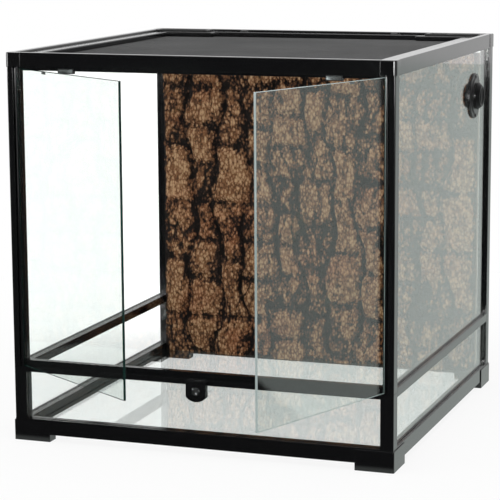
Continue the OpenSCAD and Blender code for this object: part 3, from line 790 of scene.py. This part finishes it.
def makeMagnets():
    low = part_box("door_magnets")[0]
    piece = weldedCopy("door_magnets", "door_magnet_holders", "portPlastic", "holderSteel")
    editing(piece)
    pickFaces(piece, lambda centre, normal: normal.y < -0.9 and centre.y < low.y + 0.1 * mm)
    bpy.ops.mesh.inset(thickness=magnets["frame"], depth=-magnets["sink"])
    piece.active_material_index = 1
    bpy.ops.object.material_slot_assign()
    done()
    addModifier(piece, "BEVEL", width=magnets["ease"], segments=2, limit_method="ANGLE",
                angle_limit=math.radians(40))
    smooth(piece)
    standFor(piece, "door_magnets")


makeMagnets()
print("magnets ready")


# ---- screen of the lid ----

screen = {"pitch": 1.7 * mm, "wire": 0.38 * mm, "lift": 0.22 * mm, "inset": 0.3 * mm}


def screenOutline():
    # spans across the screen at a given place: the notches of the cable ports cut the rear corners
    low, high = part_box("lid_screen")
    vertices = frame["nodes"]["lid_screen"].data.vertices
    notchX = max(abs(v.co.x) for v in vertices if v.co.y > high.y - 2 * close)
    notchY = max(v.co.y for v in vertices if abs(v.co.x) > high.x - 2 * close)
    return low, high, notchX, notchY


def addWires(start, end, step, count):
    # one wire, repeated at the pitch
    start, end = Vector(start), Vector(end)
    turn = (end - start).to_track_quat("Z", "Y").to_euler()
    bpy.ops.object.select_all(action="DESELECT")
    bpy.ops.mesh.primitive_cylinder_add(
        vertices=5, radius=screen["wire"] / 2, depth=(end - start).length,
        location=(start + end) / 2, rotation=turn)
    piece = bpy.context.object
    bpy.ops.object.transform_apply(location=True, rotation=True, scale=True)
    addModifier(piece, "ARRAY", count=count, use_relative_offset=False, use_constant_offset=True,
                constant_offset_displace=step)
    return piece


def makeScreen():
    low, high, notchX, notchY = screenOutline()
    pitch, inset = screen["pitch"], screen["inset"]
    under = (low.z + high.z) / 2 - screen["lift"] / 2
    over = under + screen["lift"]
    front = low.y + inset
    runs = []
    countX = int((high.x - low.x - 2 * inset) / pitch)
    places = [-countX * pitch / 2 + i * pitch for i in range(countX + 1)]
    left = [x for x in places if x <= -notchX]
    middle = [x for x in places if abs(x) < notchX]
    right = [x for x in places if x >= notchX]
    for xs, rear in [(middle, high.y), (left, notchY), (right, notchY)]:
        start, end = (xs[0], front, under), (xs[0], rear - inset, under)
        runs.append(addWires(start, end, (pitch, 0, 0), len(xs)))
    countY = int((high.y - low.y - 2 * inset) / pitch)
    places = [front + i * pitch for i in range(countY + 1)]
    long = [y for y in places if y < notchY]
    short = [y for y in places if y >= notchY]
    for ys, half in [(long, high.x), (short, notchX)]:
        start, end = (inset - half, ys[0], over), (half - inset, ys[0], over)
        runs.append(addWires(start, end, (0, pitch, 0), len(ys)))
    for run in runs:
        run.select_set(True)
    bpy.context.view_layer.objects.active = runs[0]
    bpy.ops.object.join()
    piece = bpy.context.object
    piece.name = "lid_screen_wires"
    piece.data.materials.clear()
    piece.data.materials.append(finish["wireCoating"])
    smooth(piece, 80)
    standFor(piece, "lid_screen")
    print("screen triangles:", sum(len(f.vertices) - 2 for f in piece.data.polygons))


makeScreen()


# ---- bark panel ----


def barkGrain(x, z):
    # 0 in the cracks to 1 on the crumbs: fine relief that lies on the plates; it also darkens the bark's colour
    #                                     in the cracks, as painted shade
    point = Vector((x * 11, z * 11, 0.7))
    bend = noise.noise_vector(point * 0.6) * 0.55 + noise.noise_vector(point * 2.3) * 0.2
    near = noise.voronoi(Vector((x * 62 + bend.y * 4, z * 30 + bend.x * 4, 9.4)))[0]
    chip = min((near[1] - near[0]) * 2.8, 1.0)
    near = noise.voronoi(Vector((x * 180 + bend.x * 5, z * 110 + bend.y * 5, 4.4)))[0]
    grain = min((near[1] - near[0]) * 2.2, 1.0)
    furrow = min(abs(noise.noise(Vector((x * 42 + bend.x * 4, z * 8, 5.0)))) * 5.0, 1.0)
    crumbs = noise.fractal(Vector((x * 240, z * 190, 1.5)), 0.5, 2.1, 3)
    level = 0.24 * chip + 0.26 * grain + 0.34 * furrow + 0.16 + 0.16 * crumbs
    return min(max(level, 0.0), 1.0)


def makeBark():
    noise.seed_set(bark["seed"])
    solid = frame["nodes"]["background_panel"].data
    plates = BVHTree.FromPolygons([v.co for v in solid.vertices], [f.vertices for f in solid.polygons])
    low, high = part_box("background_panel")
    width, tall = high.x - low.x, high.z - low.z
    back = high.y + bark["snug"]
    bpy.ops.object.select_all(action="DESELECT")
    bpy.ops.mesh.primitive_grid_add(
        x_subdivisions=int(width / bark["step"]), y_subdivisions=int(tall / bark["step"]), size=1,
        location=((low.x + high.x) / 2, back, (low.z + high.z) / 2), rotation=(math.pi / 2, 0, 0))
    piece = bpy.context.object
    piece.name = "bark_relief"
    piece.scale = (width + 2 * bark["snug"], tall, 1)
    bpy.ops.object.transform_apply(location=True, rotation=True, scale=True)
    relief = piece.data.attributes.new("relief", "FLOAT", "POINT")
    edge = bark["inEdge"]
    deepest = low.y + bark["plateDepth"]
    paintedShadeLevels = []
    for vertex in piece.data.vertices:
        x = min(max(vertex.co.x, low.x + edge), high.x - edge)
        z = min(max(vertex.co.z, low.z + edge), high.z - edge)
        plate = plates.ray_cast((x, low.y - 0.1, z), (0, 1, 0))[0].y
        grain = barkGrain(x, z)
        vertex.co.y = plate + bark["fineDepth"] * (0.55 - grain)
        # the depth below the highest plates and the grain are stored for the colour, which paints shade into
        # the gaps and cracks
        paintedShadeLevels.append(0.5 * (deepest - plate) / bark["plateDepth"] + 0.5 * grain)
    relief.data.foreach_set("value", paintedShadeLevels)
    piece.data.materials.append(finish["bark"])
    piece.data.materials.append(finish["barkCut"])
    # the open rim is drawn back to the wall and closed
    editing(piece, "EDGE")
    bpy.ops.mesh.select_all(action="DESELECT")
    bpy.ops.mesh.select_non_manifold(extend=False)
    bpy.ops.mesh.extrude_edges_move()
    bpy.ops.transform.resize(value=(1, 0, 1), center_override=(0, back, (low.z + high.z) / 2))
    bpy.ops.mesh.edge_face_add()
    done()
    for face in piece.data.polygons:
        cut = abs(face.normal.y) < 0.02 or face.center.y > back - 0.5 * mm
        face.material_index = 1 if cut else 0
        face.use_smooth = not cut
    editing(piece)
    bpy.ops.mesh.select_all(action="SELECT")
    bpy.ops.mesh.normals_make_consistent(inside=False)
    done()
    standFor(piece, "background_panel")
    print("bark triangles:", sum(len(f.vertices) - 2 for f in piece.data.polygons))


makeBark()
